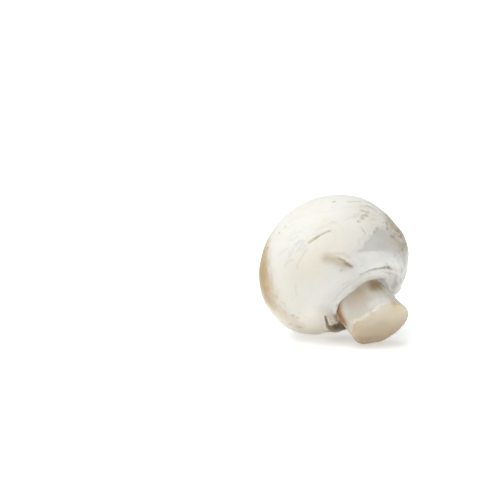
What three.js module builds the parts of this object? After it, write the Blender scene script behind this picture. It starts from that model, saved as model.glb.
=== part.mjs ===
// A picked white button mushroom, its stem trimmed, lying on the shoulder of its cap and the rim of its cut.
// Millimetres, +Z up. The surface it lies on is z = 0, and the origin is under the middle of its box.
//
// The fruit body is one piece. Its skin is one closed surface, walked from the crown of the cap over the
// shoulder, across the veil that hides the gills, over the veil's torn lip into the groove round the stem,
// down the stem and across its cut. A place on it is given by three values:
//   past  - along the mushroom's axis from the cap's widest level, towards the cut, in millimetres
//   out   - away from the axis, or from the stem's middle, in millimetres
//   round - the angle about the axis in degrees: 0 is the upper side, 90 is the +Y side
// On the cap, past and out follow from "polar", the angle from the crown in degrees: 90 is the widest level.
import * as THREE from "three";

const { clamp, degToRad, euclideanModulo, lerp, smoothstep } = THREE.MathUtils;

// Cap
const CAP_RADIUS = 23;
const CROWN_RISE = 20.3; // widest level up to the crown
const UNDERSIDE_DROP = 16.4; // widest level down to the middle of the underside
const SHOULDER_FULLNESS = 0.075; // share by which the lower shoulder swells past an ellipse
const OVAL_SHARE = 0.007; // share by which the cap is out of round, in two lobes
const OVAL_ROUND = 12;
const TRIANGLE_SHARE = 0.013; // and in three lobes
const TRIANGLE_ROUND = -24;
const CAP_END_POLAR = 149; // where the cap's skin gives way to the veil
const SPLIT_CAP_END_POLAR = 137; // and where it does so along the split

// Stem
const STEM_RADIUS = 8.6;
const STEM_FLARE = 0.4; // wider at the cut than at the veil
const STEM_LOWER_SWELL = 0.34; // wider still on the lower side, which it rests on
const STEM_FAR_SWELL = 0.45; // and at STEM_FAR_ROUND
const STEM_FAR_ROUND = 75;
const STEM_NEAR_HOLLOW = 0.5; // and narrower at STEM_NEAR_ROUND
const STEM_NEAR_ROUND = -138;
const STEM_TOP_SWELL = 0.8; // wider where it meets the veil, at STEM_TOP_ROUND
const STEM_TOP_ROUND = -92;
const STEM_END = 24.3;
const STEM_OFFSET_AT_VEIL = 2.5; // the stem stands off the cap's axis, towards STEM_OFFSET_ROUND
const STEM_OFFSET_AT_END = 3.4; // and leans further off it
const STEM_OFFSET_ROUND = 68;
const CUT_SLANT = 0.55; // the cut stands this much further out at its rim, at CUT_SLANT_ROUND
const CUT_SLANT_ROUND = 125;
const CUT_CROWN = 0.9; // how far the cut bulges in its middle
const RIM_ROUNDING = 0.45;

// Veil
const LIP_PAST = 16.1;
const LIP_GAP = 0.7; // from the stem out to the lip
const LIP_RISE = 1.7; // the lip is this much nearer the cap at LIP_RISE_ROUND
const LIP_RISE_ROUND = 75;
const OPEN_ROUND = 0; // here the torn veil is drawn back from the stem
const OPEN_WIDTH = 62;
const OPEN_GAP = 0.5; // its extra distance from the stem
const OPEN_RISE = 2.1; // how much nearer the cap its lip is
const OPEN_CAP_LESS = 4.5; // by how many degrees the cap's skin ends sooner
const SPLIT_START = -106; // where, going round, the veil begins to part from the cap's margin
const SPLIT_LENGTH = 99; // degrees to where they meet again
const SPLIT_DEPTH = 1.8; // from the margin's edge down to the bottom of the split
const SPLIT_GAP_START = 2.9; // the margin's extra distance from the stem where the split begins
const SPLIT_GAP_MOST = 5.3; // further round
const SPLIT_GAP_END = 3.5; // and where it ends
const SPLIT_PAST = 14.6; // level of the margin's edge along the split
const FLAP_FALL = 2.6; // how far the freed veil falls back towards the cap, further round
const FLAP_SETBACK = 0.5; // and how much further from the margin its edge is there

// Pose on the surface
const LEAN = 39.8; // degrees that the stem points below level
const CAP_MIDDLE = new THREE.Vector3(-1.757, -0.297, 21.2);

// Fineness of the surface
const COLUMNS = 72;
const CAP_ROWS = 30;
const ROWS_PER_SPAN = 2;

// Three sections of the veil, from the cap's skin in to the stem: joined to the stem, torn free of it, and
// split from the cap's margin. Each point is [past the lip, out from the lip, share of the gap to the stem].
const JOINED_VEIL = [
  [-0.7, 1.4, 1],
  [-0.35, 0.8, 1],
  [0.05, 0.3, 1],
  [0.4, 0, 0.9],
  [0.9, 0, 0.65],
  [1.6, 0, 0.35],
  [2.5, 0, 0.1],
];
const TORN_VEIL = [
  [-0.7, 1.2, 1],
  [-0.15, 0.5, 1],
  [0, -0.05, 1],
  [-0.4, -0.25, 1],
  [-0.8, -0.15, 0.75],
  [-0.9, 0, 0.4],
  [-0.4, 0, 0.06],
];
const SPLIT_VEIL = [
  [-0.6, 0.8, 1],
  [0, 0.1, 1],
  [0.1, -0.3, 1],
  [0.4, -0.7, 1],
  [0.85, -0.4, 0.65],
  [1.1, 0, 0.3],
  [0.5, 0, 0.06],
];

// How much each of those points takes of SPLIT_DEPTH, FLAP_FALL, FLAP_SETBACK and STEM_TOP_SWELL.
const SPLIT_DEPTH_SHARES = [0, 0, 1, 0, 0, 0, 0];
const FLAP_FALL_SHARES = [0, 0, 0.3, 1, 1, 1, 0.6];
const FLAP_SETBACK_SHARES = [0, 0, 0.6, 1, 0.7, 0.2, 0];
const STEM_TOP_SHARES = [0, 0.2, 0.5, 0.6, 0.7, 0.9, 1];

// Dents and swellings of the cap, each along a line between two places [polar, round]. "wide" is the
// half-width and "rise" the height, in millimetres.
const RELIEF = [
  { from: [118, 2], to: [127, 14], wide: 4.2, rise: -0.5 }, // flattened shoulder
  { from: [132, -6], to: [133, 26], wide: 2.2, rise: 0.4 }, // swelling along the margin
  { from: [143, -12], to: [142, 32], wide: 1.1, rise: -0.6 }, // crease between it and the veil
  { from: [118, -35], to: [134, -21], wide: 1.3, rise: 0.4 }, // pinched fold of skin
  { from: [121, -39], to: [132, -30], wide: 1.6, rise: -0.55 }, // hollow beside the fold
  { from: [148, 46], to: [129, 42], wide: 1.1, rise: 0.4 }, // pleats that draw the margin to the stem
  { from: [148, 68], to: [134, 66], wide: 1.1, rise: 0.45 },
  { from: [148, 90], to: [135, 91], wide: 1.1, rise: 0.45 },
  { from: [148, 114], to: [131, 112], wide: 1.1, rise: 0.4 },
  { from: [100, 48], to: [112, 52], wide: 4, rise: 0.35 }, // swellings and dents of the upper far side
  { from: [76, 32], to: [84, 44], wide: 4, rise: -0.35 },
  { from: [64, -2], to: [68, 16], wide: 5, rise: 0.3 },
  { from: [60, -100], to: [70, -92], wide: 5, rise: -0.35 }, // of the near side
  { from: [112, -128], to: [126, -146], wide: 4.5, rise: -0.12 },
  { from: [124, 176], to: [142, -170], wide: 2.3, rise: -0.55 }, // notch in the margin at the split
  { from: [80, 120], to: [96, 150], wide: 6, rise: -0.4 }, // of the far side
  { from: [118, 112], to: [126, 134], wide: 4, rise: 0.35 },
  { from: [48, 170], to: [58, -170], wide: 5, rise: -0.3 },
  { from: [131, 62], to: [138, 98], wide: 3.9, rise: -1.25 }, // margin drawn in on the far side
  { from: [147, 56], to: [151, 104], wide: 3.5, rise: -1.1 },
  { from: [150, -160], to: [151, 140], wide: 4, rise: -0.9 }, // and on the lower side
  { from: [137, 172], to: [140, 148], wide: 3.4, rise: -0.8 },
];

const cosine = (degrees) => Math.cos(degToRad(degrees));
const sine = (degrees) => Math.sin(degToRad(degrees));

// The same angle between -180 and 180 degrees.
const wrapped = (degrees) => euclideanModulo(degrees + 180, 360) - 180;

// 1 at an angle and fading to nothing away from it.
const lobe = (round, middle, width) => Math.exp(-((wrapped(round - middle) / width) ** 2));

// The directions of the mushroom's axis, its upper side and its +Y side.
const AXIS = new THREE.Vector3(cosine(LEAN), 0, -sine(LEAN));
const UPPER = new THREE.Vector3(sine(LEAN), 0, cosine(LEAN));
const FAR = new THREE.Vector3(0, 1, 0);

// A point of the skin in the part's frame. "middle" is what "out" is measured from, across the axis.
function placed(past, out, round, middle) {
  return CAP_MIDDLE.clone()
    .addScaledVector(AXIS, past)
    .addScaledVector(UPPER, middle.x + out * cosine(round))
    .addScaledVector(FAR, middle.y + out * sine(round));
}

// The middle of the stem at a level, or of the cap where the share is 0.
function stemMiddle(past, share = 1) {
  const downStem = (past - LIP_PAST) / (STEM_END - LIP_PAST);
  const off = share * lerp(STEM_OFFSET_AT_VEIL, STEM_OFFSET_AT_END, downStem);
  return new THREE.Vector2(off * cosine(STEM_OFFSET_ROUND), off * sine(STEM_OFFSET_ROUND));
}

// The cap's section: x is past, y is out.
function capSection(polar) {
  const lower = smoothstep(polar, 50, 130);
  const reach = lerp(CROWN_RISE, UNDERSIDE_DROP, lower);
  const fullness = 1 + lower * SHOULDER_FULLNESS * sine(2 * polar) ** 2;
  return new THREE.Vector2(-reach * cosine(polar) * fullness, CAP_RADIUS * sine(polar) * fullness);
}

// How far the skin stands out at a place on the cap, because of all its dents and swellings.
function reliefAt(polar, round) {
  let height = 0;
  for (const { from, to, wide, rise } of RELIEF) {
    const level = sine((from[0] + to[0]) / 2);
    const flattened = ([p, r]) => {
      const degrees = new THREE.Vector2(p - from[0], wrapped(r - from[1]) * level);
      return degrees.multiplyScalar(degToRad(CAP_RADIUS));
    };
    const here = flattened([polar, round]);
    const line = flattened(to);
    const along = clamp(here.dot(line) / line.lengthSq(), 0, 1);
    const away = here.distanceTo(line.multiplyScalar(along));
    height += rise * Math.exp(-((away / wide) ** 2));
  }
  return height;
}

function capPoint(polar, round) {
  const section = capSection(polar);
  section.setLength(section.length() + reliefAt(polar, round));
  const oval = OVAL_SHARE * cosine(2 * (round - OVAL_ROUND));
  const triangle = TRIANGLE_SHARE * cosine(3 * (round - TRIANGLE_ROUND));
  const middle = stemMiddle(LIP_PAST, smoothstep(polar, 115, CAP_END_POLAR));
  return placed(section.x, section.y * (1 + oval + triangle), round, middle);
}

// How far the veil is torn free of the stem at an angle: 0 is joined, 1 is torn.
const tornShare = (round) => Math.min(1, 1.6 * lobe(round, -45, 75));

// How widely the torn veil stands open at an angle.
const openShare = (round) => lobe(round, OPEN_ROUND, OPEN_WIDTH);

// How far the veil is split from the cap's margin at an angle, and how wide the split has become there.
const behindSplit = (round) => euclideanModulo(SPLIT_START - round, 360);
function splitShare(round) {
  const behind = behindSplit(round);
  return smoothstep(behind, 0, 7) * (1 - smoothstep(behind, 0.8 * SPLIT_LENGTH, SPLIT_LENGTH));
}
function splitGap(round) {
  const widened = lerp(SPLIT_GAP_START, SPLIT_GAP_MOST, smoothstep(behindSplit(round), 16, 62));
  return lerp(widened, SPLIT_GAP_END, smoothstep(behindSplit(round), 62, 86));
}

// How much wider than round the stem is at its cut.
function stemSwell(round) {
  const lower = STEM_LOWER_SWELL * lobe(round, 180, 60);
  const far = STEM_FAR_SWELL * lobe(round, STEM_FAR_ROUND, 50);
  return lower + far - STEM_NEAR_HOLLOW * lobe(round, STEM_NEAR_ROUND, 36);
}

// The section from the veil to the middle of the cut, as [past, out from the stem's middle].
function lowerSection(round) {
  const torn = tornShare(round);
  const open = openShare(round);
  const split = splitShare(round);
  const wave = 0.2 * cosine(3 * (round + 20)) + 0.15 * cosine(7 * (round - 8));
  const rise = LIP_RISE * lobe(round, LIP_RISE_ROUND, 40) + OPEN_RISE * open;
  const lip = lerp(LIP_PAST + wave - rise, SPLIT_PAST, split);
  const gap = LIP_GAP + OPEN_GAP * open + split * splitGap(round);
  const behind = behindSplit(round);
  const depth = SPLIT_DEPTH * split * smoothstep(behind, 3, 14);
  const fall = FLAP_FALL * split * smoothstep(behind, 34, 56);
  const setback = FLAP_SETBACK * split * smoothstep(behind, 4, 40);
  const topSwell = STEM_TOP_SWELL * lobe(round, STEM_TOP_ROUND, 25);
  const veil = JOINED_VEIL.map((joined, i) => {
    const unsplit = joined.map((value, k) => lerp(value, TORN_VEIL[i][k], torn));
    const [past, out, share] = unsplit.map((value, k) => lerp(value, SPLIT_VEIL[i][k], split));
    const lowered = SPLIT_DEPTH_SHARES[i] * depth + FLAP_FALL_SHARES[i] * fall;
    const moved = STEM_TOP_SHARES[i] * topSwell - FLAP_SETBACK_SHARES[i] * setback;
    return [lip + past - lowered, STEM_RADIUS + out + share * gap + moved];
  });
  const swell = stemSwell(round);
  const rim = STEM_RADIUS + STEM_FLARE + swell;
  const end = STEM_END + CUT_SLANT * cosine(round - CUT_SLANT_ROUND);
  return [
    ...veil,
    [19.2, STEM_RADIUS + 0.05 + topSwell / 2],
    [21.6, STEM_RADIUS + 0.4 * STEM_FLARE + swell / 2],
    [end - RIM_ROUNDING, rim],
    [end - 0.3 * RIM_ROUNDING, rim - 0.3 * RIM_ROUNDING],
    [end, rim - RIM_ROUNDING],
    [lerp(STEM_END, end, 0.5) + 0.75 * CUT_CROWN, 0.5 * rim],
    [STEM_END + CUT_CROWN, 0],
  ];
}

// One column of the skin, from the crown to the middle of the cut. Past the last rows of the cap it follows a
// smooth curve, and it is flattened where the mushroom lies on the surface.
function column(round) {
  const unsplitEnd = CAP_END_POLAR - OPEN_CAP_LESS * openShare(round);
  const capEnd = lerp(unsplitEnd, SPLIT_CAP_END_POLAR, splitShare(round));
  const cap = Array.from({ length: CAP_ROWS + 1 }, (_, row) => capPoint((capEnd * row) / CAP_ROWS, round));
  const lower = lowerSection(round).map(([past, out]) => placed(past, out, round, stemMiddle(past)));
  const curve = new THREE.CatmullRomCurve3([...cap.slice(-2), ...lower], false, "centripetal");
  const spans = curve.points.length - 1;
  const points = [...cap.slice(0, -1), ...curve.getPoints(spans * ROWS_PER_SPAN).slice(ROWS_PER_SPAN)];
  for (const point of points) {
    point.z = Math.max(point.z, 0);
  }
  return points;
}

// The closed skin. Every column starts at the crown and ends at the middle of the cut.
function skinGeometry() {
  const columns = Array.from({ length: COLUMNS }, (_, c) => column((360 * c) / COLUMNS));
  const rows = columns[0].length;
  const index = [];
  for (let c = 0; c < COLUMNS; c++) {
    const here = c * rows;
    const next = ((c + 1) % COLUMNS) * rows;
    for (let row = 0; row < rows - 1; row++) {
      if (row > 0) index.push(here + row, here + row + 1, next + row);
      if (row < rows - 2) index.push(next + row, here + row + 1, next + row + 1);
    }
  }
  const geometry = new THREE.BufferGeometry().setFromPoints(columns.flat());
  geometry.setIndex(index);
  geometry.computeVertexNormals();
  return geometry;
}

const flesh = new THREE.MeshStandardMaterial({ color: 0xece7dc, roughness: 0.62, metalness: 0 });

const mushroom = new THREE.Mesh(skinGeometry(), flesh);
mushroom.name = "mushroom";

const part = new THREE.Group();
part.add(mushroom);

export default part;
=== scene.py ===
"""A picked white button mushroom, lying on the shoulder of its cap and the rim of its cut stem.

The skin is one closed surface on the CAD part's own formulas. It is walked from the crown of the cap over
the shoulder, across the veil that hides the gills, over the veil's torn lip, down the stem and across its
cut. A place on it is given as on the part: "polar" is the angle from the crown and "round" the angle about
the axis, both in degrees, and "past" and "out" are distances along the axis and away from it. Sizes are in
millimetres until a mesh is made.
"""

import bpy
import numpy as np
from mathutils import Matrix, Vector, noise


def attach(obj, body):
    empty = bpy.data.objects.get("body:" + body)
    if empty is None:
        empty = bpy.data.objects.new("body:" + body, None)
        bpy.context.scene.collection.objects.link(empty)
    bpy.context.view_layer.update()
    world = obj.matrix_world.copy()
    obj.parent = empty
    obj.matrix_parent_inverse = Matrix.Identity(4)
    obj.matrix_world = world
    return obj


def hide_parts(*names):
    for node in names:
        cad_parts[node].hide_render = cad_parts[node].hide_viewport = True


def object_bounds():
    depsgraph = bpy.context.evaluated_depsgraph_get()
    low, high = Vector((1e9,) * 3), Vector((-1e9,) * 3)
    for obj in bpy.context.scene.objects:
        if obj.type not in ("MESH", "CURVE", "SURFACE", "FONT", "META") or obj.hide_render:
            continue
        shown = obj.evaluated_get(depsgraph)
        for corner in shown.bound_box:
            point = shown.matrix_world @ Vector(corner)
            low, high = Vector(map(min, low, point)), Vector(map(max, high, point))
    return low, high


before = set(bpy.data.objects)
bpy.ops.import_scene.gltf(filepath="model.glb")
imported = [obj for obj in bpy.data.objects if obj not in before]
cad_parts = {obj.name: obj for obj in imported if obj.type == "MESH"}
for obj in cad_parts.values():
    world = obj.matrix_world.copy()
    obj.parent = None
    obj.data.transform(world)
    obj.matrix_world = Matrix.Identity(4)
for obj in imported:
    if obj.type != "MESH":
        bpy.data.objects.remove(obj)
cad_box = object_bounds()

MM = 0.001

# Sizes of the part ================================================================

# Cap
CAP_RADIUS = 23
CROWN_RISE = 20.3
UNDERSIDE_DROP = 16.4
SHOULDER_FULLNESS = 0.075
OVAL_SHARE = 0.007
OVAL_ROUND = 12
TRIANGLE_SHARE = 0.013
TRIANGLE_ROUND = -24
CAP_END_POLAR = 149
SPLIT_CAP_END_POLAR = 137
UNDERSIDE_POLARS = (50, 130)  # between these the crown's curve goes over into the flatter underside's
LEANING_FROM_POLAR = 115  # past here the cap's section leans over to the stem's middle

# Stem
STEM_RADIUS = 8.6
STEM_FLARE = 0.4
STEM_SWELLS = [(0.34, 180, 60), (0.45, 75, 50), (-0.5, -138, 36)]  # at the cut: height, angle, width
STEM_TOP_SWELL = 0.8
STEM_TOP_ROUND = -92
STEM_TOP_WIDTH = 25
STEM_UPPER_PAST = 19.2
STEM_LOWER_PAST = 21.6
STEM_END = 24.3
STEM_OFFSET_AT_VEIL = 2.5
STEM_OFFSET_AT_END = 3.4
STEM_OFFSET_ROUND = 68
CUT_SLANT = 0.55
CUT_SLANT_ROUND = 125
CUT_CROWN = 0.9
RIM_ROUNDING = 0.45

# Veil
LIP_PAST = 16.1
LIP_GAP = 0.7
LIP_WAVES = [(0.2, 3, -20), (0.15, 7, 8)]  # height, how many round the stem, and the angle of one
LIP_RISE = 1.7
LIP_RISE_ROUND = 75
LIP_RISE_WIDTH = 40
TORN_ROUND = -45
TORN_WIDTH = 75
TORN_FULLNESS = 1.6  # above 1, so that the veil is torn right through for some way to each side
OPEN_ROUND = 0
OPEN_WIDTH = 62
OPEN_GAP = 0.5
OPEN_RISE = 2.1
OPEN_CAP_LESS = 4.5
SPLIT_START = -106
SPLIT_LENGTH = 99
SPLIT_DEPTH = 1.8
SPLIT_GAP_START = 2.9
SPLIT_GAP_MOST = 5.3
SPLIT_GAP_END = 3.5
SPLIT_PAST = 14.6
FLAP_FALL = 2.6
FLAP_SETBACK = 0.5

# How far behind the split's start, in degrees, each of these begins and is complete.
SPLIT_OPENS = (0, 7)
SPLIT_CLOSES = (0.8 * SPLIT_LENGTH, SPLIT_LENGTH)
GAP_WIDENS = (16, 62)
GAP_NARROWS = (62, 86)
FLAP_FALLS = (34, 56)
FLAP_SETS_BACK = (4, 40)
SPLIT_DEEPENS = (3, 14)

# Pose on the surface
LEAN = 39.8
CAP_MIDDLE = np.array([-1.757, -0.297, 21.2])

# Sections of the veil: each point is [past the lip, out from the lip, share of the gap to the stem].
JOINED_VEIL = [
    [-0.7, 1.4, 1], [-0.35, 0.8, 1], [0.05, 0.3, 1], [0.4, 0, 0.9], [0.9, 0, 0.65], [1.6, 0, 0.35],
    [2.5, 0, 0.1],
]
TORN_VEIL = [
    [-0.7, 1.2, 1], [-0.15, 0.5, 1], [0, -0.05, 1], [-0.4, -0.25, 1], [-0.8, -0.15, 0.75], [-0.9, 0, 0.4],
    [-0.4, 0, 0.06],
]
SPLIT_VEIL = [
    [-0.6, 0.8, 1], [0, 0.1, 1], [0.1, -0.3, 1], [0.4, -0.7, 1], [0.85, -0.4, 0.65], [1.1, 0, 0.3],
    [0.5, 0, 0.06],
]

# How much each of those points takes of the flap's fall and setback, the split's depth and the swelling at
# the stem's top.
FLAP_FALL_SHARES = [0, 0, 0.3, 1, 1, 1, 0.6]
FLAP_SETBACK_SHARES = [0, 0, 0.6, 1, 0.7, 0.2, 0]
SPLIT_DEPTH_SHARES = [0, 0, 1, 0, 0, 0, 0]
STEM_TOP_SHARES = [0, 0.2, 0.5, 0.6, 0.7, 0.9, 1]

# Dents and swellings that the part has: from and to, as [polar, round], then half-width and height.
RELIEF = [
    ([118, 2], [127, 14], 4.2, -0.5),
    ([132, -6], [133, 26], 2.2, 0.4),
    ([143, -12], [142, 32], 1.1, -0.6),
    ([118, -35], [134, -21], 1.3, 0.4),
    ([121, -39], [132, -30], 1.6, -0.55),
    ([148, 46], [129, 42], 1.1, 0.4),
    ([148, 68], [134, 66], 1.1, 0.45),
    ([148, 90], [135, 91], 1.1, 0.45),
    ([148, 114], [131, 112], 1.1, 0.4),
    ([100, 48], [112, 52], 4, 0.35),
    ([76, 32], [84, 44], 4, -0.35),
    ([64, -2], [68, 16], 5, 0.3),
    ([60, -100], [70, -92], 5, -0.35),
    ([112, -128], [126, -146], 4.5, -0.12),
    ([124, 176], [142, -170], 2.3, -0.55),
    ([80, 120], [96, 150], 6, -0.4),
    ([118, 112], [126, 134], 4, 0.35),
    ([48, 170], [58, -170], 5, -0.3),
    ([131, 62], [138, 98], 3.9, -1.25),
    ([147, 56], [151, 104], 3.5, -1.1),
    ([150, -160], [151, 140], 4, -0.9),
    ([137, 172], [140, 148], 3.4, -0.8),
]
PART_CAP_ROWS = 30  # the part's last two rows of the cap lead its curve into the veil, so they do here too

# The part's formulas ==============================================================


def cosine(degrees):
    return np.cos(np.radians(degrees))


def sine(degrees):
    return np.sin(np.radians(degrees))


def wrapped(degrees):
    """The same angle between -180 and 180 degrees."""
    return (degrees + 180) % 360 - 180


def blend(start, end, share):
    """The start where the share is 0, and the end where it is 1."""
    return start + (end - start) * share


def smooth(value, low, high):
    """0 below low, 1 above high, and smooth between."""
    share = np.clip((value - low) / (high - low), 0, 1)
    return share * share * (3 - 2 * share)


def bump(away, width):
    """1 where nothing away, and fading to nothing beyond the width."""
    return np.exp(-((away / width) ** 2))


def lobe(round_, middle, width):
    """1 at an angle and fading to nothing away from it."""
    return bump(wrapped(round_ - middle), width)


AXIS = np.array([cosine(LEAN), 0, -sine(LEAN)])
UPPER = np.array([sine(LEAN), 0, cosine(LEAN)])
FAR = np.array([0, 1, 0])


def placed(past, out, round_, middle):
    """Points of the skin. "middle" is what "out" is measured from, across the axis."""
    upper = middle[0] + out * cosine(round_)
    far = middle[1] + out * sine(round_)
    return CAP_MIDDLE + past[..., None] * AXIS + upper[..., None] * UPPER + far[..., None] * FAR


def stem_middle(past, share=1):
    """The middle of the stem at a level, or of the cap where the share is 0."""
    down_stem = (past - LIP_PAST) / (STEM_END - LIP_PAST)
    off = share * blend(STEM_OFFSET_AT_VEIL, STEM_OFFSET_AT_END, down_stem)
    return off * cosine(STEM_OFFSET_ROUND), off * sine(STEM_OFFSET_ROUND)


def relief_at(polar, round_):
    """How far the skin stands out at a place on the cap, because of all its dents and swellings."""
    rise = 0
    for start, end, wide, most in RELIEF:
        level = sine((start[0] + end[0]) / 2)
        here = np.radians([polar - start[0], wrapped(round_ - start[1]) * level]) * CAP_RADIUS
        line = np.radians([end[0] - start[0], wrapped(end[1] - start[1]) * level]) * CAP_RADIUS
        along = np.clip((here[0] * line[0] + here[1] * line[1]) / (line @ line), 0, 1)
        away = np.hypot(here[0] - line[0] * along, here[1] - line[1] * along)
        rise = rise + most * bump(away, wide)
    return rise


def cap_points(polar, round_):
    """Points of the cap's skin."""
    lower = smooth(polar, *UNDERSIDE_POLARS)
    reach = blend(CROWN_RISE, UNDERSIDE_DROP, lower)
    fullness = 1 + lower * SHOULDER_FULLNESS * sine(2 * polar) ** 2
    past = -reach * cosine(polar) * fullness
    out = CAP_RADIUS * sine(polar) * fullness
    raised = 1 + relief_at(polar, round_) / np.hypot(past, out)
    oval = OVAL_SHARE * cosine(2 * (round_ - OVAL_ROUND))
    triangle = TRIANGLE_SHARE * cosine(3 * (round_ - TRIANGLE_ROUND))
    middle = stem_middle(LIP_PAST, smooth(polar, LEANING_FROM_POLAR, CAP_END_POLAR))
    return placed(past * raised, out * raised * (1 + oval + triangle), round_, middle)


def torn_share(round_):
    """How far the veil is torn free of the stem at an angle: 0 is joined, 1 is torn."""
    return np.minimum(1, TORN_FULLNESS * lobe(round_, TORN_ROUND, TORN_WIDTH))


def open_share(round_):
    """How widely the torn veil stands open at an angle."""
    return lobe(round_, OPEN_ROUND, OPEN_WIDTH)


def behind_split(round_):
    """How many degrees an angle is behind the place where the split starts."""
    return (SPLIT_START - round_) % 360


def split_share(round_):
    """How far the veil is split from the cap's margin at an angle."""
    behind = behind_split(round_)
    return smooth(behind, *SPLIT_OPENS) * (1 - smooth(behind, *SPLIT_CLOSES))


def split_gap(round_):
    """The margin's extra distance from the stem at an angle, along the split."""
    behind = behind_split(round_)
    widened = blend(SPLIT_GAP_START, SPLIT_GAP_MOST, smooth(behind, *GAP_WIDENS))
    return blend(widened, SPLIT_GAP_END, smooth(behind, *GAP_NARROWS))


def stem_swell(round_):
    """How much wider than round the stem is at its cut."""
    return sum(swell * lobe(round_, middle, width) for swell, middle, width in STEM_SWELLS)


def lower_section(round_):
    """The points from the veil to the middle of the cut, as (past, out from the stem's middle)."""
    torn = torn_share(round_)
    split = split_share(round_)
    wave = sum(size * cosine(count * (round_ - middle)) for size, count, middle in LIP_WAVES)
    opened = open_share(round_)
    rise = LIP_RISE * lobe(round_, LIP_RISE_ROUND, LIP_RISE_WIDTH) + OPEN_RISE * opened
    lip = blend(LIP_PAST + wave - rise, SPLIT_PAST, split)
    gap = LIP_GAP + OPEN_GAP * opened + split * split_gap(round_)
    behind = behind_split(round_)
    flap_fall = FLAP_FALL * split * smooth(behind, *FLAP_FALLS)
    flap_setback = FLAP_SETBACK * split * smooth(behind, *FLAP_SETS_BACK)
    depth = SPLIT_DEPTH * split * smooth(behind, *SPLIT_DEEPENS)
    top_swell = STEM_TOP_SWELL * lobe(round_, STEM_TOP_ROUND, STEM_TOP_WIDTH)
    section = []
    for i, points in enumerate(zip(JOINED_VEIL, TORN_VEIL, SPLIT_VEIL)):
        past, out, share = (
            blend(blend(joined_value, torn_value, torn), split_value, split)
            for joined_value, torn_value, split_value in zip(*points)
        )
        level = lip + past - FLAP_FALL_SHARES[i] * flap_fall - SPLIT_DEPTH_SHARES[i] * depth
        out = STEM_RADIUS + out + share * gap - FLAP_SETBACK_SHARES[i] * flap_setback
        section.append((level, out + STEM_TOP_SHARES[i] * top_swell))
    swell = stem_swell(round_)
    rim = STEM_RADIUS + STEM_FLARE + swell
    end = STEM_END + CUT_SLANT * cosine(round_ - CUT_SLANT_ROUND)
    same = np.ones_like(round_)
    return section + [
        (STEM_UPPER_PAST * same, STEM_RADIUS + 0.05 + top_swell / 2),
        (STEM_LOWER_PAST * same, STEM_RADIUS + 0.4 * STEM_FLARE + swell / 2),
        (end - RIM_ROUNDING, rim),
        (end - 0.3 * RIM_ROUNDING, rim - 0.3 * RIM_ROUNDING),
        (end, rim - RIM_ROUNDING),
        (blend(STEM_END, end, 0.5) + 0.75 * CUT_CROWN, 0.5 * rim),
        ((STEM_END + CUT_CROWN) * same, 0 * same),
    ]


def curve_through(points, steps):
    """A centripetal Catmull-Rom curve through points (count, columns, 3), from the second one on. The span
    from point i + 1 takes steps[i] rows."""
    points = np.concatenate([points, 2 * points[-1:] - points[-2:-1]])
    rows = []
    for i, count in enumerate(steps):
        p0, p1, p2, p3 = points[i : i + 4]
        first, here, last = (
            np.sum((b - a) ** 2, axis=-1, keepdims=True) ** 0.25 for a, b in ((p0, p1), (p1, p2), (p2, p3))
        )
        leave = ((p1 - p0) / first - (p2 - p0) / (first + here) + (p2 - p1) / here) * here
        arrive = ((p2 - p1) / here - (p3 - p1) / (here + last) + (p3 - p2) / last) * here
        for step in range(count):
            t = step / count
            rows.append(
                p1
                + leave * t
                + (3 * (p2 - p1) - 2 * leave - arrive) * t**2
                + (2 * (p1 - p2) + leave + arrive) * t**3
            )
    rows.append(points[-2])
    return np.array(rows)


# The fine grid of the skin ========================================================

COLUMNS = 430
FINE_ROUND = -45  # the columns stand closest together round here
FINE_SHARE = 0.42
CAP_ROWS = 146
FINE_POLAR = 55  # the rows stand closer together past here
FINE_POLAR_REACH = 10
FINE_ROW_SHARE = 1.6
VEIL_STEPS = [6, 5, 5, 5, 5, 5, 5, 5]  # rows from each point of the veil's section to the next
STEM_STEPS = [9, 8]
RIM_STEPS = [3, 3]
CUT_STEPS = [12, 10]


def column_angles():
    """Angles about the axis, closer together where the skin has the most detail."""
    even = np.linspace(-180, 180, 3601)
    crowding = np.cumsum(1 + FINE_SHARE * cosine(even - FINE_ROUND))
    crowding = (crowding - crowding[0]) / (crowding[-1] - crowding[0])
    return np.interp(np.arange(COLUMNS) / COLUMNS, crowding, even)


def row_shares():
    """Where the cap's rows are, from 0 at the crown to 1 at the cap's end."""
    even = np.linspace(0, CAP_END_POLAR, 1500)
    fine = smooth(even, FINE_POLAR - FINE_POLAR_REACH, FINE_POLAR + FINE_POLAR_REACH)
    crowding = np.cumsum(1 + (FINE_ROW_SHARE - 1) * fine)
    crowding = (crowding - crowding[0]) / (crowding[-1] - crowding[0])
    return np.interp(np.linspace(0, 1, CAP_ROWS + 1), crowding, even / CAP_END_POLAR)


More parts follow.
